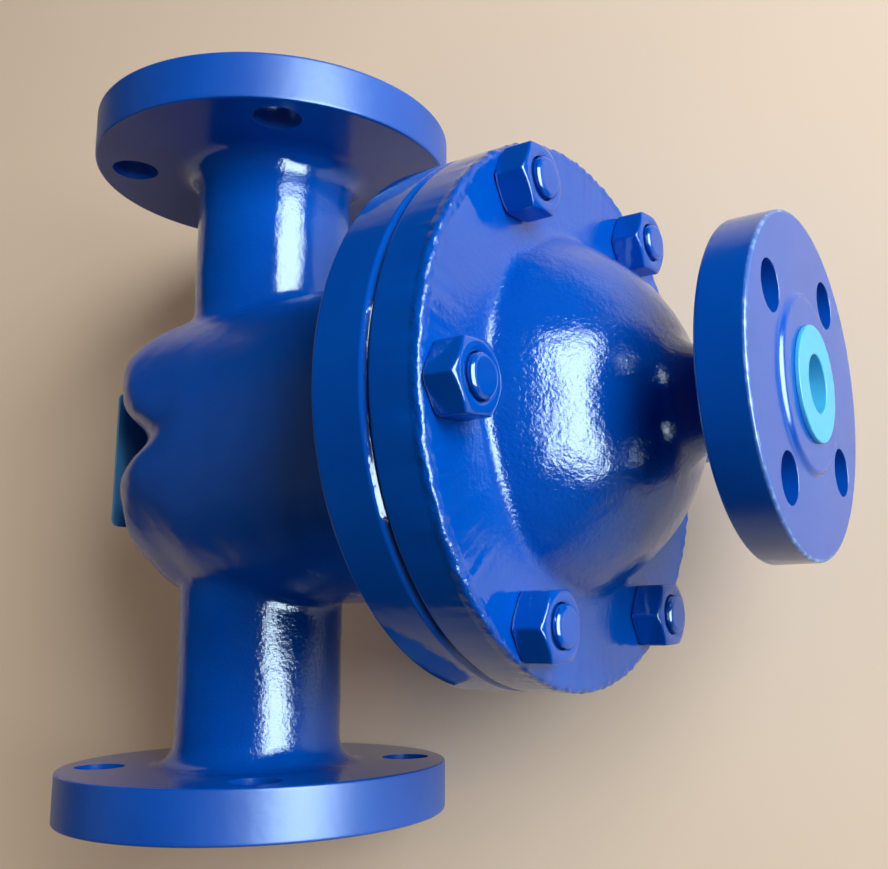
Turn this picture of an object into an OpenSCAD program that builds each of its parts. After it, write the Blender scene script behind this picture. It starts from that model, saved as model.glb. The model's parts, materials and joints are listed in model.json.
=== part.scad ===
// Steam separator: a two-lobed cast body between pipe flanges, with a domed sump cover on studs.
// Each piece is drawn with the drain along +Z and the pipe along X, and is then laid over,
// so that the whole rests on its pipe flanges and on the back rim of its body flange.

/* [Pipe ends] */
// Distance from raised face to raised face
face_to_face = 292; // [284:1:330]
// Outside diameter of the pipe flanges
pipe_flange_od = 152.4; // [148:0.1:165]
// Thickness of the pipe flanges' rims
pipe_flange_t = 19; // [15:0.5:23]
// Distance of the raised faces' edges inside the pipe flanges' rims
pipe_face_edge = 30.2; // [27:0.1:34]
// Distance of the bolt circle inside the pipe flanges' rims
pipe_hole_edge = 15.85; // [14:0.05:17]
// Number of bolt holes in each pipe flange
pipe_holes = 4; // [4, 8]
// Diameter of the pipe flanges' bolt holes
pipe_hole_d = 19; // [14:0.5:21]
// Outside diameter of the necks
neck_od = 66; // [60:1:70]
// Bore of the necks
pipe_bore = 50; // [40:1:52]
// Fillet between each neck and its flange
neck_fillet = 11; // [5:1:12]

/* [Flange finish] */
// Height of the raised faces
face_h = 1.6; // [1:0.1:3]
// Chamfer round the rims' edges
rim_chamfer = 1.2; // [0.5:0.1:2]

/* [Body] */
// Radius of the drum about the drain axis
drum_r = 60; // [57:0.5:62]
// Radius of the crown across the pipe, a little more than the drum's
crown_r = 61; // [60.5:0.5:64]
// Height of the crown above the pipe axis
crown_h = 55; // [52:0.5:58]
// Rounding of the drum's shoulders
shoulder_r = 40; // [34:1:42]
// Height of the shoulders' centre above the pipe axis
shoulder_h = 19; // [17:1:24]
// Wall of the casting
wall = 8; // [6:0.5:9]

/* [Baffle fold] */
// Place of the fold along the pipe
fold_x = 4; // [-6:1:6]
// Depth of the fold in the crown
fold_depth = 19; // [12:1:21]
// Slope of the fold's walls, in degrees
fold_slope = 48; // [42:1:60]
// Rounding of the fold's bottom
fold_r = 4; // [2:0.5:6]
// Extra wall under the fold, inside the body
fold_extra = 2; // [1.5:0.5:4]
// Thickness of the baffle that hangs from the fold
baffle_t = 9; // [6:0.5:14]
// Depth of the baffle's lower edge below the pipe axis
baffle_low = 34; // [28:1:45]

/* [Cover joint] */
// Outside diameter of the body flange and the cover flange
joint_od = 190; // [186:1:200]
// Distance of the body flange's back from the pipe axis
joint_back = 113.5; // [108:0.5:125]
// Thickness of the body flange
body_flange_t = 20.5; // [17:0.5:24]
// Chamfer round the front edges of the body flange and the cover flange
joint_chamfer = 2; // [1:0.5:3]
// Fillet between the drum and the body flange
body_fillet = 7; // [3:0.5:9]
// Thickness of the gasket
gasket_t = 1; // [0.5:0.5:3]
// Distance of the gasket's edge inside the rims
gasket_inset = 2; // [1:0.5:4]
// Bore of the gasket
gasket_bore = 108; // [106:1:116]
// Thickness of the cover flange
cover_flange_t = 18.5; // [14:0.5:24]
// Distance of the stud circle inside the flanges' rims
stud_edge = 13; // [11:0.5:14]
// Number of studs
stud_count = 6; // [4:1:8]
// Turn of the studs from the straddled place, in degrees
stud_turn = 3; // [-10:0.5:10]
// Diameter of the studs
stud_d = 14; // [12:1:14]
// Depth of the studs in the body flange
stud_depth = 15; // [12:0.5:16]
// Length of stud that stands out of its nut
stud_proud = 3; // [2:0.5:8]
// Chamfer on the studs' ends
stud_chamfer = 1.5; // [0.5:0.1:2]
// Distance across the nuts' flats
nut_af = 22; // [20:0.5:23]
// Height of the nuts
nut_h = 12; // [9:0.5:14]

/* [Sump and drain] */
// Distance of the dome's widest ring inside the cover's rim
dome_edge = 27; // [26:0.5:30]
// Distance of the dome's centre from the pipe axis
dome_z = 127; // [124:1:131]
// Wall of the dome
dome_wall = 9; // [7:0.5:11]
// Fillet at the foot of the dome
dome_foot = 4; // [2:0.5:5]
// Outside diameter of the drain neck
drain_neck_od = 34; // [32:0.5:40]
// Fillet between the dome and the drain neck
drain_fillet = 14; // [8:1:18]
// Bore of the drain
drain_bore = 26; // [20:0.5:28]
// Distance of the drain's raised face from the pipe axis
drain_reach = 234.5; // [231:0.5:260]
// Outside diameter of the drain flange
drain_flange_od = 110; // [104:1:118]
// Thickness of the drain flange's rim
drain_flange_t = 15.5; // [12:0.5:18]
// Distance of the raised face's edge inside the drain flange's rim
drain_face_edge = 29.5; // [26:0.5:32]
// Distance of the bolt circle inside the drain flange's rim
drain_hole_edge = 15.3; // [13:0.1:17]
// Number of bolt holes in the drain flange
drain_holes = 4; // [4, 8]
// Diameter of the drain flange's bolt holes
drain_hole_d = 16; // [12:0.5:18]
// Turn of the drain flange's bolt holes from the straddled place, in degrees
drain_turn = 8.5; // [0:0.5:12]
// Fillet between the drain neck and its flange
drain_flange_fillet = 5; // [2:0.5:7]

/* [Drain plug] */
// Diameter of the plug's head
plug_head_d = 37; // [32:0.5:44]
// Thickness of the plug's head
plug_head_t = 1.5; // [1:0.5:4]
// Chamfer round the plug's head
plug_chamfer = 0.5; // [0.2:0.1:0.8]
// Length of the plug's shank
plug_shank = 14; // [8:1:24]
// Bore of the plug's cup
plug_bore = 18.5; // [14:0.5:19]
// Thickness of the cup's floor
plug_floor = 2; // [1.5:0.5:4]

/* [Nameplate] */
// Length of the plate along the pipe
plate_l = 58; // [56:1:62]
// Width of the plate across the crown
plate_w = 68; // [40:1:74]
// Thickness of the plate
plate_t = 1.2; // [0.8:0.1:2]
// Rounding of the plate's corners
plate_r = 3; // [1:0.5:6]
// Distance of the rivets from the plate's ends
rivet_inset = 2.5; // [2.2:0.1:3]
// Diameter of the rivets' heads
rivet_head_d = 4; // [3:0.1:4.4]
// Height of the rivets' heads
rivet_head_h = 1.2; // [0.8:0.1:1.8]
// Diameter of the rivets' shanks
rivet_d = 2.4; // [2:0.1:2.8]
// Depth of the rivets in the crown
rivet_depth = 5; // [3:0.5:6]

/* [Fits] */
// Clearance round a thread or a rivet, on its radius
thread_gap = 0.05; // [0.02:0.01:0.1]
// Clearance of the cover's stud holes, on their radius
stud_gap = 1; // [0.5:0.1:1.2]
// Clearance of the plug in the drain, on its radius
plug_gap = 0.3; // [0.1:0.05:0.5]
// Clearance under the ends of the studs and rivets
end_gap = 0.5; // [0.2:0.1:1]

/* [Hidden] */
$fn = 96;

paint = [0.04, 0.17, 0.55];
// Margin by which a cutter passes the face that it cuts
past = 1;
// Circles and raised faces inside the rims
pipe_pcd = pipe_flange_od - 2 * pipe_hole_edge;
pipe_face_d = pipe_flange_od - 2 * pipe_face_edge;
stud_pcd = joint_od - 2 * stud_edge;
dome_r = joint_od / 2 - dome_edge;
drain_pcd = drain_flange_od - 2 * drain_hole_edge;
drain_face_d = drain_flange_od - 2 * drain_face_edge;
// Levels along the drain axis
joint_face = joint_back + body_flange_t;
cover_back = joint_face + gasket_t;
cover_face = cover_back + cover_flange_t;
drain_front = drain_reach - face_h;
drain_back = drain_front - drain_flange_t;
stud_top = cover_face + nut_h + stud_proud;
stud_first = 180 / stud_count + stud_turn;
// Levels along the pipe: the bores start well inside the drum's wall
pipe_rim = face_to_face / 2 - face_h;
bore_start = drum_r - 2.5 * wall;
// Crown and shoulders
crown_z = crown_r - crown_h;
shoulder_ring = drum_r - shoulder_r;
// Ring on which the bottom of the fold runs: it leaves the drum's sides just above its own axis
fold_ring_r = drum_r + 0.5;
fold_ring_z = fold_ring_r + fold_depth - crown_h;
fold_reach = fold_ring_r + 2 * fold_depth;
// Plug, nut and rivets
plug_shank_d = drain_bore - 2 * plug_gap;
nut_ac = nut_af / cos(30);
nut_chamfer = (nut_ac - nut_af) / 2;
rivet_x = plate_l / 2 - rivet_inset;
// Lean at which both pipe flanges and the back rim of the body flange touch the floor
pipe_rim_r = pipe_flange_od / 2;
joint_r = joint_od / 2;
rest_lean = acos(pipe_rim_r / norm([joint_r, joint_back])) - atan2(joint_back, joint_r);
// Middle of the whole between the pipe flanges' rims and the front of the drain
rim_reach = drain_front * cos(rest_lean) + (drain_flange_od / 2 - rim_chamfer) * sin(rest_lean);
plug_reach = (drain_reach + plug_head_t) * cos(rest_lean) + plug_head_d / 2 * sin(rest_lean);
rest_y = (max(rim_reach, plug_reach) - pipe_rim_r) / 2;

// Lays a piece that is drawn drain upwards on the floor, drain towards -Y
module laid() {
    translate([0, rest_y, pipe_rim_r])
        rotate([90 - rest_lean, 0, 0])
            children();
}

// Copies a piece at equal steps on a circle about Z
module on_circle(count, diameter, first) {
    for (i = [0 : count - 1])
        rotate(first + i * 360 / count)
            translate([diameter / 2, 0, 0])
                children();
}

// Half section of a rim from y = low to y = high, with its outer edges chamfered
module rim_section(radius, low, high, low_chamfer, high_chamfer) {
    polygon([
        [0, low],
        [radius - low_chamfer, low],
        [radius, low + low_chamfer],
        [radius, high - high_chamfer],
        [radius - high_chamfer, high],
        [0, high]
    ]);
}

// Half section of the fillet in the corner over a face at y = level, outside a neck
module corner_fillet(neck_r, level, fillet_r) {
    difference() {
        translate([0, level - fillet_r])
            square([neck_r + fillet_r, fillet_r]);
        translate([neck_r + fillet_r, level - fillet_r])
            circle(fillet_r);
    }
}

// Neck and flange of one pipe end, along +Z
module pipe_end_section() {
    rim_back = pipe_rim - pipe_flange_t;
    square([neck_od / 2, pipe_rim]);
    corner_fillet(neck_od / 2, rim_back, neck_fillet);
    rim_section(pipe_flange_od / 2, rim_back, pipe_rim, rim_chamfer, rim_chamfer);
    translate([0, pipe_rim])
        square([pipe_face_d / 2, face_h]);
}

module pipe_ends() {
    for (side = [-1, 1])
        rotate([0, side * 90, 0])
            rotate_extrude()
                pipe_end_section();
}

// Bores and bolt holes of both pipe ends: the holes straddle the drain's direction
module pipe_cuts() {
    rim_back = pipe_rim - pipe_flange_t;
    for (side = [-1, 1])
        rotate([0, side * 90, 0]) {
            translate([0, 0, bore_start])
                cylinder(d = pipe_bore, h = face_to_face / 2 + past - bore_start);
            translate([0, 0, rim_back - past])
                on_circle(pipe_holes, pipe_pcd, 180 / pipe_holes)
                    cylinder(d = pipe_hole_d, h = pipe_flange_t + 2 * past);
        }
}

// Drum with round shoulders under a crown that is round across the pipe, smaller all round by inset
module drum_form(inset, end) {
    intersection() {
        rotate_extrude() {
            translate([0, -shoulder_h])
                square([drum_r - inset, shoulder_h + end]);
            translate([0, inset - shoulder_h - shoulder_r])
                square([shoulder_ring, shoulder_r]);
            intersection() {
                translate([shoulder_ring, -shoulder_h])
                    circle(shoulder_r - inset);
                translate([0, inset - shoulder_h - shoulder_r])
                    square([drum_r, shoulder_r]);
            }
        }
        union() {
            translate([0, 0, crown_z])
                rotate([0, 90, 0])
                    cylinder(r = crown_r - inset, h = 2 * drum_r + past, center = true);
            translate([-drum_r - past, -drum_r - past, crown_z])
                cube([2 * (drum_r + past), 2 * (drum_r + past), end]);
        }
    }
}

// V-shaped ring that folds the crown's wall in, thicker all round by grow
module fold_ring(grow) {
    bottom_r = fold_r + grow;
    wall_start = fold_ring_r + fold_r - bottom_r * cos(fold_slope);
    half_start = bottom_r * sin(fold_slope);
    half_end = half_start + (fold_reach - wall_start) / tan(fold_slope);
    intersection() {
        translate([fold_x, 0, fold_ring_z])
            rotate([0, 90, 0])
                rotate_extrude() {
                    translate([fold_ring_r + fold_r, 0])
                        circle(bottom_r);
                    polygon([
                        [wall_start, -half_start],
                        [fold_reach, -half_end],
                        [fold_reach, half_end],
                        [wall_start, half_start]
                    ]);
                }
        translate([-2 * drum_r, -2 * drum_r, fold_ring_z - 4 * drum_r])
            cube(4 * drum_r);
    }
}

// Baffle below the fold, with a round lower edge
module baffle() {
    translate([fold_x - baffle_t / 2, -drum_r, -crown_h])
        cube([baffle_t, 2 * drum_r, crown_h + baffle_low]);
    translate([fold_x, 0, baffle_low])
        rotate([90, 0, 0])
            cylinder(d = baffle_t, h = 2 * drum_r, center = true);
}

// Two chambers that meet below the baffle and open at the body flange
module body_cavity() {
    difference() {
        drum_form(wall, joint_face + past);
        fold_ring(wall + fold_extra);
        baffle();
    }
}

module body_flange() {
    rotate_extrude() {
        rim_section(joint_r, joint_back, joint_face, 0, joint_chamfer);
        corner_fillet(drum_r, joint_back, body_fillet);
    }
}

module body() {
    color(paint)
        laid()
            difference() {
                union() {
                    difference() {
                        drum_form(0, joint_back + past);
                        fold_ring(0);
                    }
                    pipe_ends();
                    body_flange();
                }
                body_cavity();
                pipe_cuts();
                translate([0, 0, joint_face - stud_depth - end_gap])
                    on_circle(stud_count, stud_pcd, stud_first)
                        cylinder(d = stud_d + 2 * thread_gap, h = stud_depth + end_gap + past);
                for (side = [-1, 1])
                    translate([side * rivet_x, 0, -crown_h - past])
                        cylinder(d = rivet_d + 2 * thread_gap, h = rivet_depth + end_gap + past);
            }
}

// Fillet in the corner between the dome and the drain neck
module dome_top_fillet() {
    centre_x = drain_neck_od / 2 + drain_fillet;
    centre_h = sqrt(pow(dome_r + drain_fillet, 2) - centre_x * centre_x);
    touch = dome_r / (dome_r + drain_fillet);
    difference() {
        polygon([
            [0, dome_z + touch * centre_h],
            [centre_x * touch, dome_z + touch * centre_h],
            [centre_x, dome_z + centre_h],
            [0, dome_z + centre_h]
        ]);
        translate([centre_x, dome_z + centre_h])
            circle(drain_fillet);
    }
}

// Fillet in the corner between the cover's face and the foot of the dome
module dome_foot_fillet() {
    centre_h = cover_face + dome_foot - dome_z;
    centre_x = sqrt(pow(dome_r + dome_foot, 2) - centre_h * centre_h);
    touch = dome_r / (dome_r + dome_foot);
    difference() {
        polygon([
            [0, cover_face - past],
            [centre_x, cover_face - past],
            [centre_x, dome_z + centre_h],
            [centre_x * touch, dome_z + centre_h * touch],
            [0, dome_z + centre_h * touch]
        ]);
        translate([centre_x, dome_z + centre_h])
            circle(dome_foot);
    }
}

// Half section of the cover, its dome and the flanged drain
module cover_section() {
    rim_section(joint_r, cover_back, cover_face, rim_chamfer, joint_chamfer);
    intersection() {
        translate([0, dome_z])
            circle(dome_r);
        translate([0, cover_back])
            square([dome_r, drain_reach]);
    }
    dome_foot_fillet();
    dome_top_fillet();
    translate([0, dome_z])
        square([drain_neck_od / 2, drain_front - dome_z]);
    corner_fillet(drain_neck_od / 2, drain_back, drain_flange_fillet);
    rim_section(drain_flange_od / 2, drain_back, drain_front, rim_chamfer, rim_chamfer);
    translate([0, drain_front])
        square([drain_face_d / 2, face_h]);
}

// Sump inside the dome, no wider than the body's mouth
module sump() {
    intersection() {
        translate([0, 0, dome_z])
            sphere(dome_r - dome_wall);
        translate([0, 0, cover_back - past])
            cylinder(r = drum_r - wall, h = drain_reach);
    }
    translate([0, 0, dome_z])
        cylinder(d = drain_bore, h = drain_reach + past - dome_z);
}

module cover() {
    color(paint)
        laid()
            difference() {
                rotate_extrude()
                    intersection() {
                        cover_section();
                        translate([0, cover_back])
                            square([joint_r, drain_reach]);
                    }
                sump();
                translate([0, 0, cover_back - past])
                    on_circle(stud_count, stud_pcd, stud_first)
                        cylinder(d = stud_d + 2 * stud_gap, h = cover_flange_t + 2 * past);
                translate([0, 0, drain_back - past])
                    on_circle(drain_holes, drain_pcd, 180 / drain_holes + drain_turn)
                        cylinder(d = drain_hole_d, h = drain_flange_t + 2 * past);
            }
}

module cover_gasket() {
    color("dimgray")
        laid()
            translate([0, 0, joint_face])
                difference() {
                    cylinder(r = joint_r - gasket_inset, h = gasket_t);
                    translate([0, 0, -past])
                        cylinder(d = gasket_bore, h = gasket_t + 2 * past);
                    translate([0, 0, -past])
                        on_circle(stud_count, stud_pcd, stud_first)
                            cylinder(d = stud_d + 2 * stud_gap, h = gasket_t + 2 * past);
                }
}

module cover_studs() {
    low = joint_face - stud_depth;
    color(paint)
        laid()
            on_circle(stud_count, stud_pcd, stud_first)
                rotate_extrude()
                    rim_section(stud_d / 2, low, stud_top, stud_chamfer, stud_chamfer);
}

// Hexagon nut with its corners chamfered above and below, one corner outwards
module hexagon_nut() {
    difference() {
        intersection() {
            cylinder(d = nut_ac, h = nut_h, $fn = 6);
            rotate_extrude()
                polygon([
                    [0, 0],
                    [nut_af / 2, 0],
                    [nut_ac / 2 + past, (nut_chamfer + past) * tan(30)],
                    [nut_ac / 2 + past, nut_h - (nut_chamfer + past) * tan(30)],
                    [nut_af / 2, nut_h],
                    [0, nut_h]
                ]);
        }
        translate([0, 0, -past])
            cylinder(d = stud_d + 2 * thread_gap, h = nut_h + 2 * past);
    }
}

module cover_nuts() {
    color(paint)
        laid()
            translate([0, 0, cover_face])
                on_circle(stud_count, stud_pcd, stud_first)
                    hexagon_nut();
}

// Cup-shaped plug pushed into the drain, open outwards
module drain_plug() {
    color("deepskyblue")
        laid()
            translate([0, 0, drain_reach])
                difference() {
                    union() {
                        rotate_extrude()
                            rim_section(plug_head_d / 2, 0, plug_head_t, 0, plug_chamfer);
                        translate([0, 0, -plug_shank])
                            cylinder(d = plug_shank_d, h = plug_shank + past);
                    }
                    translate([0, 0, plug_floor - plug_shank])
                        cylinder(d = plug_bore, h = plug_shank + plug_head_t);
                }
}

module nameplate() {
    color("teal")
        laid()
            translate([0, 0, -crown_h - plate_t])
                linear_extrude(plate_t)
                    difference() {
                        union() {
                            square([plate_l, plate_w - 2 * plate_r], center = true);
                            square([plate_l - 2 * plate_r, plate_w], center = true);
                            for (x = [-1, 1], y = [-1, 1])
                                translate([x * (plate_l / 2 - plate_r), y * (plate_w / 2 - plate_r)])
                                    circle(plate_r);
                        }
                        for (side = [-1, 1])
                            translate([side * rivet_x, 0])
                                circle(d = rivet_d + 2 * thread_gap);
                    }
}

module nameplate_rivets() {
    seat = -crown_h - plate_t;
    ball_r = (pow(rivet_head_d / 2, 2) + pow(rivet_head_h, 2)) / (2 * rivet_head_h);
    color("silver")
        laid()
            for (side = [-1, 1])
                translate([side * rivet_x, 0, seat]) {
                    cylinder(d = rivet_d, h = plate_t + rivet_depth);
                    intersection() {
                        translate([0, 0, ball_r - rivet_head_h])
                            sphere(ball_r);
                        translate([0, 0, -rivet_head_h])
                            cylinder(d = rivet_head_d, h = rivet_head_h);
                    }
                }
}

body();
cover();
cover_gasket();
cover_studs();
cover_nuts();
drain_plug();
nameplate();
nameplate_rivets();
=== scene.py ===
"""Looks of a flanged steam separator: sand-cast iron under glossy royal blue enamel, on a pale floor."""

import json
import math

import bmesh
import bpy
import numpy as np
from mathutils import Matrix, Vector, noise


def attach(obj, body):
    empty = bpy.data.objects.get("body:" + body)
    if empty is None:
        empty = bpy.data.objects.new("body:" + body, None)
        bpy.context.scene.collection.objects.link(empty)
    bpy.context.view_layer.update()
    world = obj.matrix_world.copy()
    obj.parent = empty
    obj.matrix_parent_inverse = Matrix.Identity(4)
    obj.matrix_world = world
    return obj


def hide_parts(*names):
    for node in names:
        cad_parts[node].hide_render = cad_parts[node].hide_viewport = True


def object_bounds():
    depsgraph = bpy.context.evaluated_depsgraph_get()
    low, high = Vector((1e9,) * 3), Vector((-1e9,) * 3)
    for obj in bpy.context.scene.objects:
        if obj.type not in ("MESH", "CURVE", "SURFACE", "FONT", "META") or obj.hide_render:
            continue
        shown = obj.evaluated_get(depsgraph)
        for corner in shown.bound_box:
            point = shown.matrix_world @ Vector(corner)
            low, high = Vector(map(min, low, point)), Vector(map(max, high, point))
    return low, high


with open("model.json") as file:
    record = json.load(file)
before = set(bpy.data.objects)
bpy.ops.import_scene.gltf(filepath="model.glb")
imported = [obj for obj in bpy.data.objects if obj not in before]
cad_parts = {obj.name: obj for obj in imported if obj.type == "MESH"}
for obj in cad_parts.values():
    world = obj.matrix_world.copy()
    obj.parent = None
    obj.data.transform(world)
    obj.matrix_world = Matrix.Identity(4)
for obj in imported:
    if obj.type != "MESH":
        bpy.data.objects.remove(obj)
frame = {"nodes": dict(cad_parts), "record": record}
cad_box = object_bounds()
scene = bpy.context.scene

MM = 0.001

# The separator's own frame: x runs along the pipe, z along the drain, from the middle of the pipe.
mounts = {mount["name"]: mount for mount in frame["record"]["mounts"]}
INLET = np.array(mounts["inlet_flange"]["pos_m"])
OUTLET = np.array(mounts["outlet_flange"]["pos_m"])
DRAIN = np.array(mounts["drain_flange"]["axis"])
PIPE = np.array(mounts["outlet_flange"]["axis"])
PIPE_CENTRE = (INLET + OUTLET) / 2
OWN_AXES = np.array([PIPE, np.cross(DRAIN, PIPE), DRAIN])
OWN_TURN = math.atan2(DRAIN[2], -DRAIN[1])


def own(points):
    """Row-frame metres to the separator's own millimetres."""
    return (np.asarray(points) - PIPE_CENTRE) @ OWN_AXES.T / MM


def row(points):
    """The separator's own millimetres to row-frame metres."""
    return PIPE_CENTRE + np.asarray(points) @ OWN_AXES * MM


def mesh_points(mesh):
    """Points of a mesh, one row each."""
    flat = np.empty(len(mesh.vertices) * 3)
    mesh.vertices.foreach_get("co", flat)
    return flat.reshape(-1, 3)


def node_points(name):
    """Points of a CAD node in the separator's own millimetres."""
    return own(mesh_points(frame["nodes"][name].data))


# Levels and radii in own millimetres, taken from the nodes.
body_points = node_points("body")
cover_points = node_points("cover")
gasket_points = node_points("cover_gasket")
nut_points = node_points("cover_nuts")
stud_points = node_points("cover_studs")
plug_points = node_points("drain_plug")


def from_drain(points):
    """Distances of points from the drain's axis."""
    return np.hypot(points[:, 0], points[:, 1])


def from_pipe(points):
    """Distances of points from the pipe's axis."""
    return np.hypot(points[:, 1], points[:, 2])


PIPE_FACE = body_points[:, 0].max()
pipe_ends = body_points[np.abs(body_points[:, 0]) > 0.8 * PIPE_FACE]
PIPE_RIM_R = from_pipe(pipe_ends).max()
PIPE_BACK = np.abs(pipe_ends[from_pipe(pipe_ends) > PIPE_RIM_R - 0.01, 0]).min()
JOINT_R = from_drain(cover_points).max()
JOINT_BACK = body_points[np.isclose(from_drain(body_points), JOINT_R, atol=0.01), 2].min()
JOINT_FACE = gasket_points[:, 2].min()
COVER_FACE = nut_points[:, 2].min()
NUT_TOP = nut_points[:, 2].max()
STUD_LOW = stud_points[:, 2].min()
STUD_TOP = stud_points[:, 2].max()
STUD_R = np.ptp(from_drain(stud_points)) / 2
STUD_RING = from_drain(stud_points).min() + STUD_R
STUD_COUNT = 6
stud_bearings = np.arctan2(stud_points[:, 1], stud_points[:, 0])
STUD_FIRST = np.angle(np.exp(1j * STUD_COUNT * stud_bearings).mean()) / STUD_COUNT
DRAIN_FACE = cover_points[:, 2].max()
drain_end = cover_points[cover_points[:, 2] > (COVER_FACE + DRAIN_FACE) / 2]
DRAIN_R = from_drain(drain_end[drain_end[:, 2] > DRAIN_FACE - 10]).max()
DRAIN_BACK = drain_end[from_drain(drain_end) > DRAIN_R - 0.01, 2].min()
DRAIN_FRONT = drain_end[from_drain(drain_end) > DRAIN_R - 0.01, 2].max()
PLUG_LOW = plug_points[:, 2].min()
PLUG_TOP = plug_points[:, 2].max()
PLUG_HEAD_R = from_drain(plug_points).max()
PLUG_SHANK_R = from_drain(plug_points[plug_points[:, 2] < PLUG_LOW + 0.01]).max()
PLUG_BORE_R = from_drain(plug_points[plug_points[:, 2] > PLUG_TOP - 0.01]).min()


def smooth_step(low, high, value):
    """0 below low, 1 above high, and a smooth climb between them."""
    t = np.clip((value - low) / (high - low), 0, 1)
    return t * t * (3 - 2 * t)


def lumps(points, size, seed):
    """Smooth random swell from about -1 to 1 whose lumps are about size across."""
    shift = Vector((seed * 17.3, seed * 5.1, seed * 9.7))
    return np.array([noise.noise(Vector(p) / size + shift) for p in points])


# Meshes


def baked(obj):
    """Gives obj the mesh that its modifiers make, and takes them off."""
    graph = bpy.context.evaluated_depsgraph_get()
    mesh = bpy.data.meshes.new_from_object(obj.evaluated_get(graph))
    obj.modifiers.clear()
    obj.data = mesh


def skinned(node, name, cell):
    """Copy of a CAD node, in own metres, with an even skin of cells that size, so that its edges can wear."""
    mesh = frame["nodes"][node].data.copy()
    mesh.materials.clear()
    to_own = Matrix.Identity(4)
    for i in range(3):
        for j in range(3):
            to_own[i][j] = OWN_AXES[i][j]
    mesh.transform(to_own @ Matrix.Translation(-Vector(PIPE_CENTRE)))
    obj = bpy.data.objects.new(name, mesh)
    scene.collection.objects.link(obj)
    remesh = obj.modifiers.new("skin", "REMESH")
    remesh.mode = "VOXEL"
    remesh.voxel_size = cell * MM
    baked(obj)
    return obj


def cut_away(obj, planes):
    """Takes off what lies beyond each plane, given by its distance along a direction in millimetres."""
    bm = bmesh.new()
    bm.from_mesh(obj.data)
    for direction, distance in planes:
        bmesh.ops.bisect_plane(
            bm,
            geom=bm.verts[:] + bm.edges[:] + bm.faces[:],
            plane_co=Vector(direction) * distance * MM,
            plane_no=direction,
            clear_outer=True,
        )
    bm.to_mesh(obj.data)
    bm.free()


def joined(name, objects):
    """One object from the meshes of several, which it takes the place of."""
    bm = bmesh.new()
    for obj in objects:
        bm.from_mesh(obj.data)
        bpy.data.objects.remove(obj)
    mesh = bpy.data.meshes.new(name)
    bm.to_mesh(mesh)
    bm.free()
    whole = bpy.data.objects.new(name, mesh)
    scene.collection.objects.link(whole)
    return whole


def mesh_edges(mesh):
    flat = np.empty(len(mesh.edges) * 2, np.int32)
    mesh.edges.foreach_get("vertices", flat)
    return flat.reshape(-1, 2)


def relax(points, edges, share, rounds):
    """Moves each point its share of the way to the middle of its neighbours, round after round."""
    a, b = edges.T
    total = len(points)
    count = np.maximum(np.bincount(a, minlength=total) + np.bincount(b, minlength=total), 1)
    for _ in range(rounds):
        middle = np.empty_like(points)
        for k in range(3):
            middle[:, k] = np.bincount(a, points[b, k], total) + np.bincount(b, points[a, k], total)
        points = points + share[:, None] * (middle / count[:, None] - points)
    return points


def set_points(mesh, points):
    mesh.vertices.foreach_set("co", np.ascontiguousarray(points).ravel())
    mesh.update()


def normals(mesh):
    flat = np.empty(len(mesh.vertices) * 3)
    mesh.vertex_normals.foreach_get("vector", flat)
    return flat.reshape(-1, 3)


def mark(mesh, name, values):
    """Keeps one number for each point, for a material to read."""
    kept = mesh.attributes.new(name, "FLOAT", "POINT")
    kept.data.foreach_set("value", np.ascontiguousarray(values, np.float32))


def mark_vectors(mesh, name, values):
    """Keeps one vector for each point, for a material to read."""
    kept = mesh.attributes.new(name, "FLOAT_VECTOR", "POINT")
    kept.data.foreach_set("vector", np.ascontiguousarray(values, np.float32).ravel())


def shade_smooth(mesh):
    mesh.polygons.foreach_set("use_smooth", np.ones(len(mesh.polygons), bool))


def placed(obj, material, node):
    """Puts a finished piece in own metres where it belongs, in place of its CAD node."""
    mesh = obj.data
    set_points(mesh, row(mesh_points(mesh) / MM))
    shade_smooth(mesh)
    mesh.set_sharp_from_angle(angle=math.radians(38))
    mesh.materials.clear()
    mesh.materials.append(material)
    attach(obj, "root")
    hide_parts(node)


# Materials


def linear(hex_colour):
    """sRGB hex colour to linear red, green, blue and alpha."""
    channels = [int(hex_colour[i : i + 2], 16) / 255 for i in (1, 3, 5)]
    return [c / 12.92 if c <= 0.04045 else ((c + 0.055) / 1.055) ** 2.4 for c in channels] + [1.0]


def add(tree, kind, inputs=None, **settings):
    """Adds a node with its settings, and gives each input a value or a link from another node's socket."""
    made = tree.nodes.new(kind)
    for key, value in settings.items():
        setattr(made, key, value)
    for key, value in (inputs or {}).items():
        if isinstance(value, bpy.types.NodeSocket):
            tree.links.new(value, made.inputs[key])
        else:
            made.inputs[key].default_value = value
    return made


def new_material(name):
    """Empty material with its output, and its node tree."""
    material = bpy.data.materials.new(name)
    material.use_nodes = True
    material.node_tree.nodes.clear()
    return material, material.node_tree


def own_millimetres(tree):
    """Socket with the separator's own millimetres at the shaded point."""
    place = add(tree, "ShaderNodeTexCoord")
    turned = add(
        tree,
        "ShaderNodeMapping",
        {
            "Vector": place.outputs["Object"],
            "Location": PIPE_CENTRE,
            "Rotation": (math.pi / 2 - OWN_TURN, 0, 0),
            "Scale": (MM, MM, MM),
        },
        vector_type="TEXTURE",
    )
    return turned.outputs["Vector"]


def enamel_paint(tree, at):
    """Socket with the blue of the enamel, a little uneven where the brush left more of it."""
    strokes = add(tree, "ShaderNodeTexNoise", {"Vector": at, "Scale": 1 / 30, "Detail": 3.0})
    return add(
        tree,
        "ShaderNodeMix",
        {0: strokes.outputs["Fac"], 6: linear("#0042A4"), 7: linear("#0053BC")},
        data_type="RGBA",
    ).outputs[2]


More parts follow.
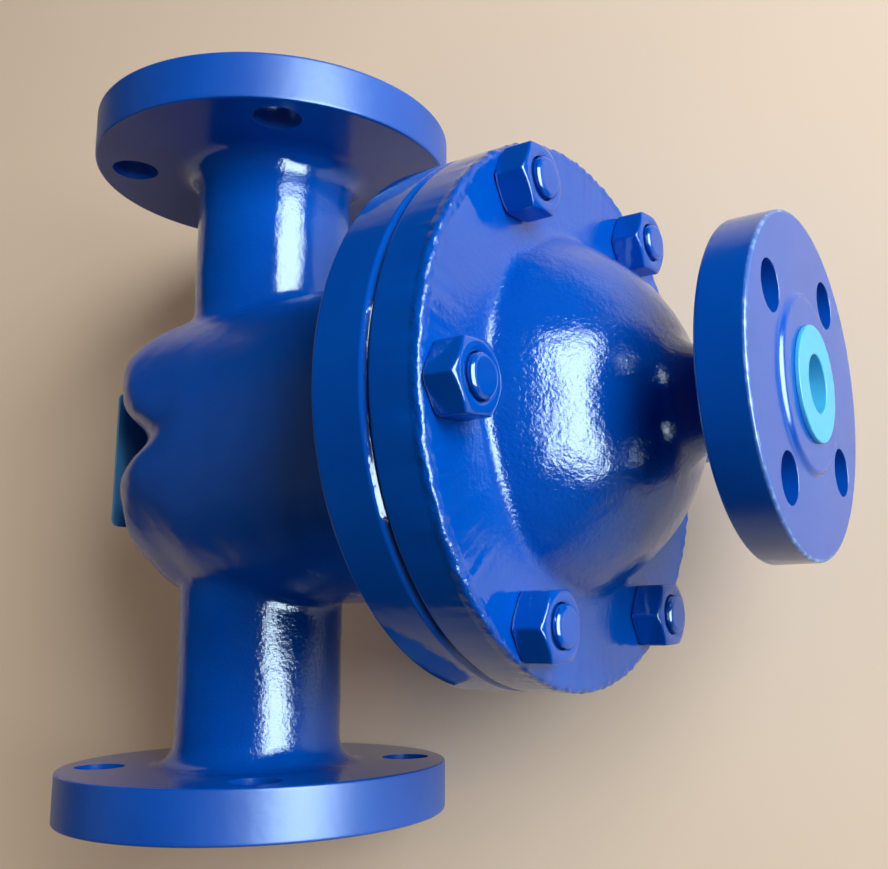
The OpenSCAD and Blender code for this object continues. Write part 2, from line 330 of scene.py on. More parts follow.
def enamel_shader(tree, colour, roughness, bumps):
    """Thick alkyd enamel: its resin skin mirrors what is round it, with a trace of its own blue."""
    shader = add(
        tree,
        "ShaderNodeBsdfPrincipled",
        {
            "Base Color": colour,
            "Roughness": roughness,
            "IOR": 1.54,
            "Specular IOR Level": 0.8,
            "Specular Tint": linear("#D2F0FF"),
            "Normal": bumps,
        },
    )
    add(tree, "ShaderNodeOutputMaterial", {"Surface": shader.outputs["BSDF"]})


def cast_enamel():
    """Alkyd gloss enamel brushed on sand-cast iron: deep blue, wet highlights that the sand's grain breaks
    into sparkles, smoother on the turned rims, dull brown iron where no paint got inside."""
    material, tree = new_material("royal_blue_enamel_on_cast_iron")
    at = own_millimetres(tree)
    cast = add(tree, "ShaderNodeAttribute", attribute_name="cast")
    inside = add(tree, "ShaderNodeAttribute", attribute_name="inside")
    worn = add(tree, "ShaderNodeAttribute", attribute_name="worn")
    lathe = add(tree, "ShaderNodeAttribute", attribute_name="lathe")
    gloss = add(tree, "ShaderNodeAttribute", attribute_name="roughness")
    rust = add(tree, "ShaderNodeTexNoise", {"Vector": at, "Scale": 1 / 6, "Detail": 6.0})
    iron = add(
        tree,
        "ShaderNodeMix",
        {0: rust.outputs["Fac"], 6: linear("#2B2724"), 7: linear("#5A4334")},
        data_type="RGBA",
    )
    # The pale blue mixed in where the edge mark is set is a painted highlight: the glint of a rounded edge
    # put into the paint's colour
    paint_and_highlight = add(
        tree,
        "ShaderNodeMix",
        {0: worn.outputs["Fac"], 6: enamel_paint(tree, at), 7: linear("#8FB4E0")},
        data_type="RGBA",
    )
    colour = add(
        tree,
        "ShaderNodeMix",
        {0: inside.outputs["Fac"], 6: paint_and_highlight.outputs[2], 7: iron.outputs[2]},
        data_type="RGBA",
    )
    peel = add(tree, "ShaderNodeTexNoise", {"Vector": at, "Scale": 1 / 5, "Detail": 3.0})
    brushed = add(tree, "ShaderNodeBump", {"Height": peel.outputs["Fac"], "Distance": 0.09 * MM})
    cuts = add(
        tree, "ShaderNodeTexNoise", {"Vector": lathe.outputs["Vector"], "Scale": 1 / 1.3, "Detail": 2.0}
    )
    cut = add(
        tree,
        "ShaderNodeBump",
        {"Height": cuts.outputs["Fac"], "Distance": 0.008 * MM, "Normal": brushed.outputs["Normal"]},
    )
    # Moulding sand is about 0.4 mm, and drawn at 1.5 mm so that it shows
    sand = add(
        tree,
        "ShaderNodeTexNoise",
        {"Vector": at, "Scale": 1 / 1.5, "Detail": 3.0, "Roughness": 0.6},
    )
    grain = add(
        tree,
        "ShaderNodeMath",
        {0: sand.outputs["Fac"], 1: cast.outputs["Fac"]},
        operation="MULTIPLY",
    )
    grainy = add(
        tree,
        "ShaderNodeBump",
        {"Height": grain.outputs["Value"], "Distance": 0.2 * MM, "Normal": cut.outputs["Normal"]},
    )
    enamel_shader(tree, colour.outputs[2], gloss.outputs["Fac"], grainy.outputs["Normal"])
    return material


def fastener_enamel():
    """The same enamel on machined steel: clean flats, and a thick film that softens edges and threads."""
    material, tree = new_material("royal_blue_enamel_on_steel")
    at = own_millimetres(tree)
    sags = add(tree, "ShaderNodeTexNoise", {"Vector": at, "Scale": 1 / 3, "Detail": 2.0})
    film = add(tree, "ShaderNodeBump", {"Height": sags.outputs["Fac"], "Distance": 0.06 * MM})
    enamel_shader(tree, enamel_paint(tree, at), 0.08, film.outputs["Normal"])
    return material


def plug_plastic():
    """Moulded polyethylene cap: bright cyan, a soft waxy gloss and a little light through its thin wall."""
    material, tree = new_material("cyan_polyethylene")
    at = own_millimetres(tree)
    clouds = add(tree, "ShaderNodeTexNoise", {"Vector": at, "Scale": 1 / 12, "Detail": 3.0})
    colour = add(
        tree,
        "ShaderNodeMix",
        {0: clouds.outputs["Fac"], 6: linear("#40A5D1"), 7: linear("#4ABAE1")},
        data_type="RGBA",
    )
    marks = add(tree, "ShaderNodeTexNoise", {"Vector": at, "Scale": 1 / 0.9, "Detail": 2.0})
    bump = add(
        tree, "ShaderNodeBump", {"Height": marks.outputs["Fac"], "Distance": 0.02 * MM}
    )
    shader = add(
        tree,
        "ShaderNodeBsdfPrincipled",
        {
            "Base Color": colour.outputs[2],
            "Roughness": 0.38,
            "IOR": 1.51,
            "Subsurface Weight": 0.25,
            "Subsurface Radius": (0.4, 0.9, 1.0),
            "Subsurface Scale": 2 * MM,
            "Normal": bump.outputs["Normal"],
        },
    )
    add(tree, "ShaderNodeOutputMaterial", {"Surface": shader.outputs["BSDF"]})
    return material


def gasket_sheet():
    """Pressed graphite fibre sheet: matt dark grey with short pale fibres."""
    material, tree = new_material("graphite_fibre_sheet")
    at = own_millimetres(tree)
    fibres = add(tree, "ShaderNodeTexNoise", {"Vector": at, "Scale": 1 / 0.8, "Detail": 5.0})
    colour = add(
        tree,
        "ShaderNodeMix",
        {0: fibres.outputs["Fac"], 6: linear("#1A1B1D"), 7: linear("#3A3B3D")},
        data_type="RGBA",
    )
    bump = add(
        tree, "ShaderNodeBump", {"Height": fibres.outputs["Fac"], "Distance": 0.05 * MM}
    )
    shader = add(
        tree,
        "ShaderNodeBsdfPrincipled",
        {
            "Base Color": colour.outputs[2],
            "Roughness": 0.8,
            "Normal": bump.outputs["Normal"],
        },
    )
    add(tree, "ShaderNodeOutputMaterial", {"Surface": shader.outputs["BSDF"]})
    return material


def plate_enamel():
    """Printed aluminium plate: teal enamel bands with fine brushing, and a bare pale field between them."""
    material, tree = new_material("teal_enamelled_aluminium")
    at = own_millimetres(tree)
    split = add(tree, "ShaderNodeSeparateXYZ", {"Vector": at})
    away = add(tree, "ShaderNodeMath", {0: split.outputs["Y"]}, operation="ABSOLUTE")
    band = add(
        tree,
        "ShaderNodeMapRange",
        {"Value": away.outputs["Value"], "From Min": 18.4, "From Max": 18.8},
    )
    strokes = add(
        tree, "ShaderNodeVectorMath", {0: at, 1: (0.04, 1.0, 1.0)}, operation="MULTIPLY"
    )
    # Brushing is finer than 0.2 mm, and drawn at 0.9 mm so that it shows
    brushing = add(
        tree,
        "ShaderNodeTexNoise",
        {"Vector": strokes.outputs["Vector"], "Scale": 1 / 0.9, "Detail": 3.0},
    )
    teal = add(
        tree,
        "ShaderNodeMix",
        {0: brushing.outputs["Fac"], 6: linear("#3C86BE"), 7: linear("#62AEE0")},
        data_type="RGBA",
    )
    speckle = add(tree, "ShaderNodeTexNoise", {"Vector": at, "Scale": 1 / 1.2, "Detail": 4.0})
    bare = add(
        tree,
        "ShaderNodeMix",
        {0: speckle.outputs["Fac"], 6: linear("#C8CCD0"), 7: linear("#F0F1F2")},
        data_type="RGBA",
    )
    colour = add(
        tree,
        "ShaderNodeMix",
        {0: band.outputs["Result"], 6: bare.outputs[2], 7: teal.outputs[2]},
        data_type="RGBA",
    )
    bump = add(
        tree, "ShaderNodeBump", {"Height": brushing.outputs["Fac"], "Distance": 0.03 * MM}
    )
    shader = add(
        tree,
        "ShaderNodeBsdfPrincipled",
        {
            "Base Color": colour.outputs[2],
            "Roughness": 0.34,
            "IOR": 1.5,
            "Normal": bump.outputs["Normal"],
        },
    )
    add(tree, "ShaderNodeOutputMaterial", {"Surface": shader.outputs["BSDF"]})
    return material


def rivet_aluminium():
    """Peened aluminium: pale metal, dulled by handling."""
    material, tree = new_material("peened_aluminium")
    at = own_millimetres(tree)
    dents = add(tree, "ShaderNodeTexNoise", {"Vector": at, "Scale": 1 / 0.7, "Detail": 3.0})
    colour = add(
        tree,
        "ShaderNodeMix",
        {0: dents.outputs["Fac"], 6: linear("#A9ABAE"), 7: linear("#D8DADC")},
        data_type="RGBA",
    )
    bump = add(
        tree, "ShaderNodeBump", {"Height": dents.outputs["Fac"], "Distance": 0.04 * MM}
    )
    shader = add(
        tree,
        "ShaderNodeBsdfPrincipled",
        {
            "Base Color": colour.outputs[2],
            "Metallic": 1.0,
            "Roughness": 0.36,
            "Normal": bump.outputs["Normal"],
        },
    )
    add(tree, "ShaderNodeOutputMaterial", {"Surface": shader.outputs["BSDF"]})
    return material


def floor_board():
    """Pale matt studio board: even and warm, with a faint mottling."""
    material, tree = new_material("pale_studio_board")
    place = add(tree, "ShaderNodeTexCoord")
    mottle = add(
        tree,
        "ShaderNodeTexNoise",
        {"Vector": place.outputs["Object"], "Scale": 1 / (180 * MM), "Detail": 3.0},
    )
    colour = add(
        tree,
        "ShaderNodeMix",
        {0: mottle.outputs["Fac"], 6: linear("#E2D1BC"), 7: linear("#E8D8C4")},
        data_type="RGBA",
    )
    shader = add(
        tree,
        "ShaderNodeBsdfPrincipled",
        {"Base Color": colour.outputs[2], "Roughness": 0.9, "Specular IOR Level": 0.05},
    )
    add(tree, "ShaderNodeOutputMaterial", {"Surface": shader.outputs["BSDF"]})
    return material


CAST_ENAMEL = cast_enamel()
FASTENER_ENAMEL = fastener_enamel()


# Turned forms


def eased(corners):
    """Profile whose corners (radius, level, ease) are rounded over their ease to either side."""
    profile = []
    for i, (radius, level, ease) in enumerate(corners):
        corner = np.array((radius, level))
        if not ease:
            profile.append(corner)
            continue
        before = np.array(corners[i - 1][:2]) - corner
        after = np.array(corners[i + 1][:2]) - corner
        before = before / np.linalg.norm(before)
        after = after / np.linalg.norm(after)
        profile.append(corner + before * (ease + 0.2))
        for t in np.linspace(0, 1, 5 + math.ceil(ease)):
            profile.append(corner + ease * ((1 - t) ** 2 * before + t * t * after))
        profile.append(corner + after * (ease + 0.2))
    return profile


def arc(radius, level, around, first, last, step):
    """Corners on an arc about (radius, level), between two bearings in degrees, a step apart."""
    count = math.ceil(around * math.radians(abs(last - first)) / step) + 1
    bearings = np.radians(np.linspace(first, last, count))
    return [(radius + around * math.cos(a), level + around * math.sin(a), 0) for a in bearings]


def along_drain(centre=(0, 0)):
    """Places a turned point about an axis along the drain."""
    return lambda r, level, angle: (
        centre[0] + r * math.cos(angle),
        centre[1] + r * math.sin(angle),
        level,
    )


def along_pipe(side, centre=(0, 0)):
    """Places a turned point about an axis along the pipe: its outlet end for side 1, its inlet for -1."""
    return lambda r, level, angle: (
        side * level,
        centre[0] + r * math.cos(angle),
        centre[1] + side * r * math.sin(angle),
    )


def turned(profile, around, place):
    """Points and faces of a form turned from a profile of (radius, level): up its outside and, unless its
    ends are on the axis, down its bore and back to the start."""
    points, rings, faces = [], [], []
    for radius, level in profile:
        steps = around if radius > 0 else 1
        rings.append([len(points) + k for k in range(steps)])
        points += [place(radius, level, 2 * math.pi * k / around) for k in range(steps)]
    if profile[0][0] > 0:
        rings.append(rings[0])
    for low, high in zip(rings, rings[1:]):
        for k in range(around):
            after = (k + 1) % around
            corners = (
                low[k % len(low)],
                low[after % len(low)],
                high[after % len(high)],
                high[k % len(high)],
            )
            faces.append(tuple(dict.fromkeys(corners)))
    return points, faces


def built(name, pieces):
    """One object in own metres from several sets of points and faces."""
    points, faces = [], []
    for more_points, more_faces in pieces:
        faces += [tuple(len(points) + i for i in face) for face in more_faces]
        points += more_points
    mesh = bpy.data.meshes.new(name)
    mesh.from_pydata([Vector(p) * MM for p in points], [], faces)
    obj = bpy.data.objects.new(name, mesh)
    scene.collection.objects.link(obj)
    return obj


def on_circle(count, diameter, first):
    """Bearings and centres of places on a circle, from a first bearing in radians."""
    for k in range(count):
        bearing = first + 2 * math.pi * k / count
        yield np.array((math.cos(bearing), math.sin(bearing))) * diameter / 2


def drilled(obj, mount, back, front, first, place):
    """Drills the bolt holes of a mount through a flange, with a small countersink at both faces."""
    dims = mounts[mount]["dims"]
    hole_r, sink, past = dims["hole_r_mm"], 0.1, 1.0
    profile = [
        (0, back - past),
        (hole_r + sink + past, back - past),
        (hole_r, back + sink),
        (hole_r, front - sink),
        (hole_r + sink + past, front + past),
        (0, front + past),
    ]
    places = on_circle(dims["count"], dims["pcd_mm"], math.radians(first))
    drills = built("drills", [turned(profile, 48, place(centre)) for centre in places])
    holes = obj.modifiers.new("holes", "BOOLEAN")
    holes.object = drills
    holes.solver = "EXACT"
    baked(obj)
    bpy.data.objects.remove(drills)


# Castings

# Sizes of the castings that the frame doesn't give, in millimetres
NECK_R, NECK_FILLET, PIPE_BORE_R = 33.0, 11.0, 25.0
DRUM_R, BODY_FILLET, MOUTH_R, JOINT_CHAMFER = 60.0, 7.0, 52.0, 2.0
CROWN_R, CROWN_Z, FOLD_X = 61.0, 6.0, 4.0
# How much fuller the drum looks in the photograph than its solid, how much nearer the inlet its fold lies,
# and how much flatter the inlet's lobe is
DRUM_SWELL, FOLD_SHIFT, LOBE_FLAT = 3.0, 3.0, 3.5
DOME_Z, DOME_R, DOME_WALL, DOME_FOOT = 127.0, 68.0, 9.0, 3.4
DRAIN_NECK_R, DRAIN_FILLET, DRAIN_FLANGE_FILLET, DRAIN_BORE_R = 17.0, 14.0, 5.0, 13.0
DRAIN_RAISED_R, DRAIN_TURN, FACE_H, RIM_CHAMFER = 28.0, 8.5, 1.6, 1.2
# Width of the band beside an edge in which its finish differs
EDGE_BAND = 4.0
# Roughness of bare iron, and of enamel where it dried wet and where it dried satin
BARE_ROUGH, WET_ROUGH, SATIN_ROUGH = 0.8, 0.04, 0.4
# Levels where the moulded skin of the body hands over to its turned flanges
END_CUT, JOINT_CUT, LAP = PIPE_BACK - 15.0, JOINT_BACK - 9.0, 1.0


def near_ring(points, radius, level, reach):
    """1 on a ring about the drain's axis, falling to 0 at that reach from it."""
    away = np.hypot(from_drain(points) - radius, points[:, 2] - level)
    return 1 - smooth_step(0.4 * reach, reach, away)


def swelled(obj, heights):
    """Raises each point along its normal by a height in millimetres."""
    mesh = obj.data
    set_points(mesh, mesh_points(mesh) + heights[:, None] * MM * normals(mesh))


def pipe_end(side):
    """Flange and neck of one pipe end, with its bolt holes."""
    rim_level = PIPE_FACE - FACE_H
    back = PIPE_BACK - RIM_CHAMFER
    face_r = from_pipe(body_points[np.abs(body_points[:, 0]) > PIPE_FACE - 0.01]).max()
    bore_r = from_pipe(body_points[np.abs(body_points[:, 0]) > PIPE_FACE - 0.01]).min()
    profile = eased([
        (NECK_R - 0.1, END_CUT - LAP, 0),
        (NECK_R, back, NECK_FILLET),
        (PIPE_RIM_R, back, RIM_CHAMFER),
        (PIPE_RIM_R, rim_level, RIM_CHAMFER),
        (face_r, rim_level, 0.5),
        (face_r, PIPE_FACE, 0.6),
        (bore_r + EDGE_BAND, PIPE_FACE, 0),
        (bore_r, PIPE_FACE, 0.8),
        (bore_r, END_CUT - LAP, 0),
    ])
    obj = built("pipe_end", [turned(profile, 256, along_pipe(side))])
    mount = "outlet_flange" if side > 0 else "inlet_flange"
    drilled(obj, mount, back, rim_level, 45, lambda centre: along_pipe(side, centre))
    return obj


def joint_flange():
    """Round flange at the body's mouth, with the chamfer that frames the joint."""
    profile = eased([
        (DRUM_R + DRUM_SWELL - 0.1, JOINT_CUT - LAP, 0),
        (DRUM_R + DRUM_SWELL, JOINT_BACK, BODY_FILLET),
        (JOINT_R, JOINT_BACK, 0.9),
        (JOINT_R, JOINT_FACE - JOINT_CHAMFER, 0.6),
        (JOINT_R - JOINT_CHAMFER, JOINT_FACE, 0.5),
        (MOUTH_R, JOINT_FACE, 0.5),
        (MOUTH_R, JOINT_CUT - LAP, 0),
    ])
    return built("joint_flange", [turned(profile, 320, along_drain())])


def fuller_drum(points):
    """Points of the drum's skin, swelled round the drain, with the fold a little nearer the inlet, and the
    inlet's lobe flatter than a circle between its top and its sides."""
    x, y, z = points.T
    away = from_drain(points)
    drum = 1 - smooth_step(46, 58, np.abs(x))
    inlet_lobe = smooth_step(0, 30, -x) * (1 - smooth_step(-25, 10, z))
    swell = DRUM_SWELL * smooth_step(25, 50, away) * (1 - inlet_lobe) / np.maximum(away, 1)
    bearing = np.arctan2(np.abs(y), CROWN_Z - z)
    between = np.where(z < CROWN_Z, np.sin(2 * bearing) ** 2, 0)
    flat = LOBE_FLAT * drum * between * smooth_step(15, 45, -x) / np.maximum(np.hypot(y, z - CROWN_Z), 1)
    fold = (1 - smooth_step(8, 35, np.abs(x - FOLD_X))) * (1 - smooth_step(-10, 25, z))
    moved = points.copy()
    moved[:, 0] += swell * x * (1 - smooth_step(62, 90, np.abs(x))) - FOLD_SHIFT * fold
    moved[:, 1] += (swell * drum - flat) * y
    moved[:, 2] -= flat * (z - CROWN_Z)
    return moved


def moulded_skin():
    """Drum, folded crown and necks, with the soft joins of a sand mould."""
    obj = skinned("body", "moulded_skin", 1.4)
    mesh = obj.data
    edges = mesh_edges(mesh)
    at = mesh_points(mesh) / MM
    ends = smooth_step(END_CUT - 6, END_CUT, np.abs(at[:, 0]))
    joint = smooth_step(JOINT_CUT - 6, JOINT_CUT, at[:, 2])
    moulded = (1 - ends) * (1 - joint)
    folded = (1 - smooth_step(10, 22, np.abs(at[:, 0] - FOLD_X))) * (1 - smooth_step(0, 25, at[:, 2]))
    at = relax(at, edges, np.full(len(at), 0.5), 3)
    at = relax(at, edges, 0.5 * moulded, 10)
    at = relax(at, edges, 0.5 * folded, 25)
    at = fuller_drum(at)
    set_points(mesh, at * MM)
    swelled(obj, moulded * (0.3 * lumps(at, 17, 1) + 0.1 * lumps(at, 5, 2)))
    cut_away(obj, [((1, 0, 0), END_CUT), ((-1, 0, 0), END_CUT), ((0, 0, 1), JOINT_CUT)])
    return obj


def finish_casting(obj, cast, worn, inside, satin, lathe_scale):
    """Keeps on each point what its finish is: sand-cast skin, a pale painted highlight along marked edges,
    bare inside, enamel that dried satin, and which way its turning marks run."""
    mesh = obj.data
    at = mesh_points(mesh) / MM
    bare = inside(at, normals(mesh))
    mark(mesh, "cast", cast(at))
    mark(mesh, "worn", worn(at))
    mark(mesh, "inside", bare)
    mark(mesh, "roughness", np.where(bare, BARE_ROUGH, WET_ROUGH + (SATIN_ROUGH - WET_ROUGH) * satin(at)))
    mark_vectors(mesh, "lathe", at * lathe_scale(at))


def body_casting():
    """Two-lobed body with its pipe ends and the flange at its mouth."""

    def cast(p):
        neck = smooth_step(45, 65, np.abs(p[:, 0]))
        skin = 0.2 + neck * np.where(p[:, 0] > 0, 0.4, 0.8)
        ends = smooth_step(PIPE_BACK - 6, PIPE_BACK - 1, np.abs(p[:, 0]))
        joint = smooth_step(JOINT_BACK - 4, JOINT_BACK, p[:, 2])
        return skin * (1 - ends) * (1 - joint)

    def inside(p, n):
        bore = (from_pipe(p) < PIPE_BORE_R + 1) & (np.abs(p[:, 0]) > 40)
        crown = (from_drain(p) < MOUTH_R + 1.5) & (np.hypot(p[:, 1], p[:, 2] - CROWN_Z) < CROWN_R - 7)
        mouth = (from_drain(p) < MOUTH_R + 1.5) & (p[:, 2] > 0)
        return bore | ((crown | mouth) & (n[:, 2] > -0.3))

    def satin(p):
        neck = smooth_step(48, 66, np.abs(p[:, 0]))
        joint = smooth_step(JOINT_BACK - 8, JOINT_BACK, p[:, 2])
        ends = smooth_step(PIPE_BACK - 2, PIPE_BACK, np.abs(p[:, 0]))
        return np.maximum(0.6 * (1 - neck) * (1 - joint), ends)

    def lathe_scale(p):
        ends = (np.abs(p[:, 0]) > PIPE_BACK - 5)[:, None]
        return np.where(ends, (1.0, 0.04, 0.04), (0.04, 0.04, 1.0))

    obj = joined("body_casting", [moulded_skin(), pipe_end(1), pipe_end(-1), joint_flange()])
    finish_casting(obj, cast, lambda p: np.zeros(len(p)), inside, satin, lathe_scale)
    placed(obj, CAST_ENAMEL, "body")


def cover_casting():
    """Domed cover with its flanged drain: a sandy dome and front edge, a smooth face and rims."""
    foot = math.degrees(math.asin((COVER_FACE - DOME_Z) / DOME_R))
    fillet_r = DRAIN_NECK_R + DRAIN_FILLET
    fillet_level = DOME_Z + math.sqrt((DOME_R + DRAIN_FILLET) ** 2 - fillet_r**2)
    touch = math.degrees(math.atan2(fillet_level - DOME_Z, fillet_r))
    front = DRAIN_FACE - FACE_H
    back = DRAIN_BACK - RIM_CHAMFER
    cover_back = gasket_points[:, 2].max()
    sump_r = DOME_R - DOME_WALL
    sump = [math.degrees(math.acos(r / sump_r)) for r in (DRAIN_BORE_R, MOUTH_R)]
    profile = eased([
        (MOUTH_R, cover_back, 0),
        (JOINT_R, cover_back, RIM_CHAMFER),
        (JOINT_R, COVER_FACE - EDGE_BAND, 0),
        (JOINT_R, COVER_FACE, JOINT_CHAMFER),
        (JOINT_R - EDGE_BAND, COVER_FACE, 0),
        (DOME_R * math.cos(math.radians(foot)), COVER_FACE, DOME_FOOT),
        *arc(0, DOME_Z, DOME_R, foot + 5, touch, 1.2),
        *arc(fillet_r, fillet_level, DRAIN_FILLET, touch - 180, -180, 1.2),
        (DRAIN_NECK_R, back, DRAIN_FLANGE_FILLET),
        (DRAIN_R, back, RIM_CHAMFER),
        (DRAIN_R, front - EDGE_BAND, 0),
        (DRAIN_R, front, RIM_CHAMFER),
        (DRAIN_R - EDGE_BAND, front, 0),
        (DRAIN_RAISED_R + 0.8, front, 0.7),
        (DRAIN_RAISED_R - 0.8, DRAIN_FACE, 0.7),
        (DRAIN_BORE_R, DRAIN_FACE, 0.4),
        *arc(0, DOME_Z, sump_r, *sump, 4),
    ])
    obj = built("cover_casting", [turned(profile, 480, along_drain())])

    def dome(p):
        return smooth_step(COVER_FACE + 0.5, COVER_FACE + 2, p[:, 2]) * (
            1 - smooth_step(DRAIN_BACK - 6, DRAIN_BACK - 2, p[:, 2])
        )

    def front_edge(p):
        return near_ring(p, JOINT_R - 0.6, COVER_FACE - 0.6, 3.5)

    def foot_edge(p):
        return near_ring(p, DOME_R * math.cos(math.radians(foot)), COVER_FACE + 1, 6)

    def inside(p, n):
        sump_skin = np.linalg.norm(p - (0, 0, DOME_Z), axis=1) < sump_r + 1
        bore = (from_drain(p) < DRAIN_BORE_R + 0.2) & (p[:, 2] < DRAIN_FACE - 0.5)
        return bore | (sump_skin & (from_drain(p) < MOUTH_R + 0.5))

    # Painted highlight: a pale blue line all round the drain flange's front edge, stronger in patches where
    # the lumps rise
    def worn(p):
        edge = near_ring(p, DRAIN_R - 0.4, front - 0.4, 1.0)
        return edge * (0.2 + 0.4 * smooth_step(0, 0.4, lumps(p, 2.2, 5)))

    def satin(p):
        return 0.4 * smooth_step(DRAIN_BACK - 2, DRAIN_BACK, p[:, 2])

    drilled(obj, "drain_flange", back, front, 45 + DRAIN_TURN, along_drain)
    at = mesh_points(obj.data) / MM
    sandy = 0.25 * lumps(at, 14, 3) + 0.1 * lumps(at, 4, 4)
    swelled(obj, dome(at) * sandy + 0.55 * front_edge(at) * lumps(at, 2.6, 6))
    finish_casting(
        obj,
        lambda p: np.max([dome(p), 1.9 * front_edge(p), 1.7 * foot_edge(p)], axis=0),
        worn,
        inside,
        satin,
        lambda p: np.array((0.04, 0.04, 1.0)),
    )
    placed(obj, CAST_ENAMEL, "cover")


# Fasteners and plug


def stud_centres():
    return on_circle(STUD_COUNT, 2 * STUD_RING, STUD_FIRST)


def nut_set():
    """Hexagon nuts with chamfered, paint-softened corners and a countersink round each stud."""
    sink_r, sink_slope = 8.0, 0.8
    chamfer_r, chamfer_slope = 10.2, 0.5
    obj = skinned("cover_nuts", "nut_set", 0.45)
    mesh = obj.data
    at = mesh_points(mesh) / MM
    edges = mesh_edges(mesh)
    away = np.min([np.hypot(*(at[:, :2] - centre).T) for centre in stud_centres()], axis=0)
    sunk = sink_slope * np.maximum(sink_r - away, 0) + chamfer_slope * np.maximum(away - chamfer_r, 0)
    at[:, 2] = np.minimum(at[:, 2], NUT_TOP - sunk)
    set_points(mesh, relax(at, edges, np.full(len(at), 0.5), 5) * MM)
    placed(obj, FASTENER_ENAMEL, "cover_nuts")


def stud_set():
    """Studs whose painted threads stand out of the nuts, with a dark ring round each."""
    pitch, thread_depth, crest_r = 2.0, 0.55, STUD_R - 0.25
    stud_end = STUD_TOP - 1.0
    thread_low, thread_top = NUT_TOP - 3, stud_end - 1.2

    def threaded(centre):
        plain = along_drain(centre)

        def place(r, level, angle):
            if thread_low < level < thread_top:
                r -= thread_depth * (0.5 + 0.5 * math.cos(angle - 2 * math.pi * level / pitch))
            return plain(r, level, angle)

        return place

    profile = eased([
        (0, STUD_LOW, 0),
        (STUD_R - 1.5, STUD_LOW, 0),
        (STUD_R, STUD_LOW + 1.5, 0),
        (STUD_R, thread_low - 1, 0),
        *[(crest_r, level, 0) for level in np.arange(thread_low, thread_top, 0.2)],
        (crest_r, stud_end - 1, 0.2),
        (STUD_R - 1.3, stud_end, 0.8),
        (0, stud_end, 0),
    ])
    pieces = [turned(profile, 48, threaded(centre)) for centre in stud_centres()]
    placed(built("stud_set", pieces), FASTENER_ENAMEL, "cover_studs")


def plug():
    """Moulded plug: a thin flat head round a cup."""
    floor_level = PLUG_LOW + 2
    profile = eased([
        (0, PLUG_LOW, 0),
        (PLUG_SHANK_R, PLUG_LOW, 0.8),
        (PLUG_SHANK_R, DRAIN_FACE, 0),
        (PLUG_HEAD_R, DRAIN_FACE, 0.3),
        (PLUG_HEAD_R, PLUG_TOP, 0.5),
        (PLUG_BORE_R, PLUG_TOP, 0.5),
        (PLUG_BORE_R, floor_level, 1.0),
        (0, floor_level, 0),
    ])
    obj = built("plug", [turned(profile, 96, along_drain())])
    placed(obj, plug_plastic(), "drain_plug")


body_casting()
cover_casting()
nut_set()
stud_set()
plug()

for name, material in (
    ("cover_gasket", gasket_sheet()),
    ("nameplate", plate_enamel()),
    ("nameplate_rivets", rivet_aluminium()),
):
    node = frame["nodes"][name]
    node.data.materials.clear()
    node.data.materials.append(material)


# Floor, lights and camera

FLOOR_HALF = 4.0
floor_corners = [(FLOOR_HALF * x, FLOOR_HALF * y, 0) for x, y in ((-1, -1), (1, -1), (1, 1), (-1, 1))]
floor_mesh = bpy.data.meshes.new("floor")
floor_mesh.from_pydata(floor_corners, [], [(0, 1, 2, 3)])
floor_mesh.materials.append(floor_board())
floor = bpy.data.objects.new("floor", floor_mesh)
scene.collection.objects.link(floor)


def soft_light(name, azimuth, elevation, distance, size, power):
    """Rectangular soft light that faces the object: azimuth 0 is on the drain's side, 90 on the outlet's."""
    lamp = bpy.data.lights.new(name, "AREA")
    lamp.shape = "RECTANGLE"
    lamp.size, lamp.size_y = size
    lamp.energy = power
    obj = bpy.data.objects.new(name, lamp)
    scene.collection.objects.link(obj)
    a, e = math.radians(azimuth), math.radians(elevation)
    away = Vector((math.sin(a) * math.cos(e), -math.cos(a) * math.cos(e), math.sin(e)))
    middle = (Vector(cad_box[0]) + Vector(cad_box[1])) / 2
    obj.location = middle + away * distance
    obj.rotation_euler = away.to_track_quat("Z", "Y").to_euler()
    return obj


# The light that the gloss mirrors, and a soft one that falls off from the outlet towards the inlet
gloss_light = soft_light("gloss_light", 3, 30, 1.25, (1.6, 0.8), 58)
gloss_light.visible_diffuse = False
key_light = soft_light("key_light", 18, 31, 1.2, (1.0, 0.8), 8.6)
key_light.visible_glossy = False
key_light.data.spread = math.radians(100)
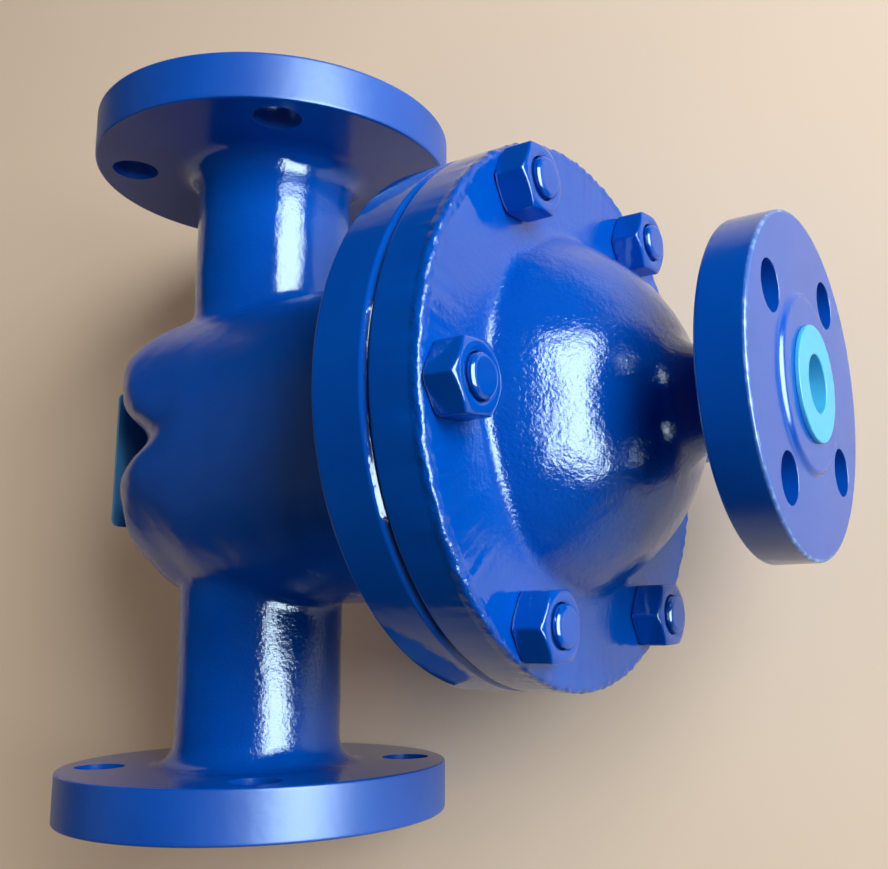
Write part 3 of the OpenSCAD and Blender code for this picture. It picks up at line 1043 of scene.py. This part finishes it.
# A warm fill from behind lifts the shadows but is too dim to show in the gloss
fill_light = soft_light("fill_light", 180, 28, 1.6, (2.0, 1.2), 9)
fill_light.visible_glossy = False
fill_light.data.color = linear("#FFE4CC")[:3]

# Studio air that is dark behind the object and lighter on the drain's side
world = bpy.data.worlds.new("studio")
scene.world = world
world.use_nodes = True
studio = world.node_tree
studio.nodes.clear()
outlook = add(studio, "ShaderNodeTexCoord").outputs["Generated"]
towards = add(studio, "ShaderNodeSeparateXYZ", {"Vector": outlook}).outputs["Y"]
glow = add(
    studio,
    "ShaderNodeMapRange",
    {"Value": towards, "From Min": 0.3, "From Max": -0.6, "To Min": 0.01, "To Max": 0.06},
).outputs["Result"]
air = add(studio, "ShaderNodeBackground", {"Color": linear("#F4F1EC"), "Strength": glow})
add(studio, "ShaderNodeOutputWorld", {"Surface": air.outputs["Background"]})

# The camera's place, aim and lens, fitted to the outline of the flanges in the photograph's frame.
PHOTO_WIDTH, PHOTO_HEIGHT = 888, 869
FOCAL_PIXELS = 1051.4
AXIS_PIXEL = (507.3, 436.5)
CAMERA_PLACE = Vector(row((-74.8, 319.0, 325.0)))
CAMERA_AIM = Vector(row((-4.3, 0.0, 121.8)))
CAMERA_UP = Vector(row((0.983, 0.1501, 0.1056)) - row((0, 0, 0)))

lens = bpy.data.cameras.new("camera")
lens.sensor_width = 36
lens.lens = lens.sensor_width * FOCAL_PIXELS / PHOTO_WIDTH
lens.shift_x = (PHOTO_WIDTH / 2 - AXIS_PIXEL[0]) / PHOTO_WIDTH
lens.shift_y = (AXIS_PIXEL[1] - PHOTO_HEIGHT / 2) / PHOTO_WIDTH
lens.clip_start = 0.01
camera = bpy.data.objects.new("camera", lens)
scene.collection.objects.link(camera)
back = (CAMERA_PLACE - CAMERA_AIM).normalized()
right = CAMERA_UP.cross(back).normalized()
facing = Matrix((right, back.cross(right), back)).transposed()
camera.matrix_world = Matrix.Translation(CAMERA_PLACE) @ facing.to_4x4()
scene.camera = camera

scene.view_settings.view_transform = "Standard"
